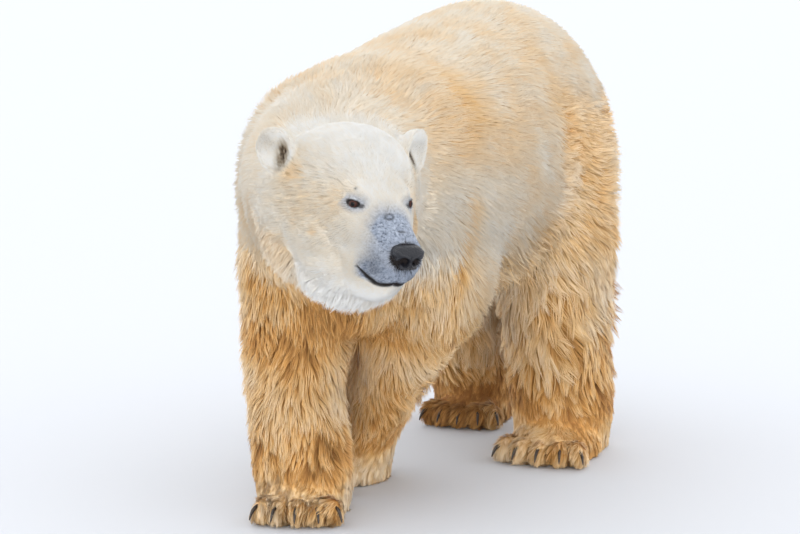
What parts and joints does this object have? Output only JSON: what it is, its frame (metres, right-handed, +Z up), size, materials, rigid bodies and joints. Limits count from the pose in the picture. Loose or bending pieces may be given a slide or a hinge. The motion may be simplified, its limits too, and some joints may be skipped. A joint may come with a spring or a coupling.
{
  "type": "polar bear",
  "caption": "Life-size still polar bear, walking on all fours with its head turned to its left, as for a museum display.",
  "frame": {"origin": "on the floor, under the middle of the bear's box", "axes": "+X to the bear's left, -Y the way its body faces, +Z up"},
  "size_m": [0.746, 1.5682, 1.0606],
  "materials": {
    "coat": "matte fur",
    "nose_leather": "moist satin",
    "eye_wet": "wet gloss",
    "claw_horn": "semi-gloss horn"
  },
  "bodies": {
    "root": {"trunk": "coat", "neck": "coat", "head": "coat", "tail": "coat", "fore_leg_left": "coat", "fore_leg_right": "coat", "hind_leg_left": "coat", "hind_leg_right": "coat", "fore_paw_left": "coat", "fore_paw_right": "coat", "hind_paw_left": "coat", "hind_paw_right": "coat", "ear_left": "coat", "ear_right": "coat", "nose": "nose_leather", "eye_left": "eye_wet", "eye_right": "eye_wet", "fore_paw_right_claw_1": "claw_horn", "fore_paw_right_claw_2": "claw_horn", "fore_paw_right_claw_3": "claw_horn", "fore_paw_right_claw_4": "claw_horn", "fore_paw_right_claw_5": "claw_horn", "fore_paw_left_claw_1": "claw_horn", "fore_paw_left_claw_2": "claw_horn", "fore_paw_left_claw_3": "claw_horn", "fore_paw_left_claw_4": "claw_horn", "fore_paw_left_claw_5": "claw_horn", "hind_paw_right_claw_1": "claw_horn", "hind_paw_right_claw_2": "claw_horn", "hind_paw_right_claw_3": "claw_horn", "hind_paw_right_claw_4": "claw_horn", "hind_paw_right_claw_5": "claw_horn", "hind_paw_left_claw_1": "claw_horn", "hind_paw_left_claw_2": "claw_horn", "hind_paw_left_claw_3": "claw_horn", "hind_paw_left_claw_4": "claw_horn", "hind_paw_left_claw_5": "claw_horn"}
  },
  "joints": []
}
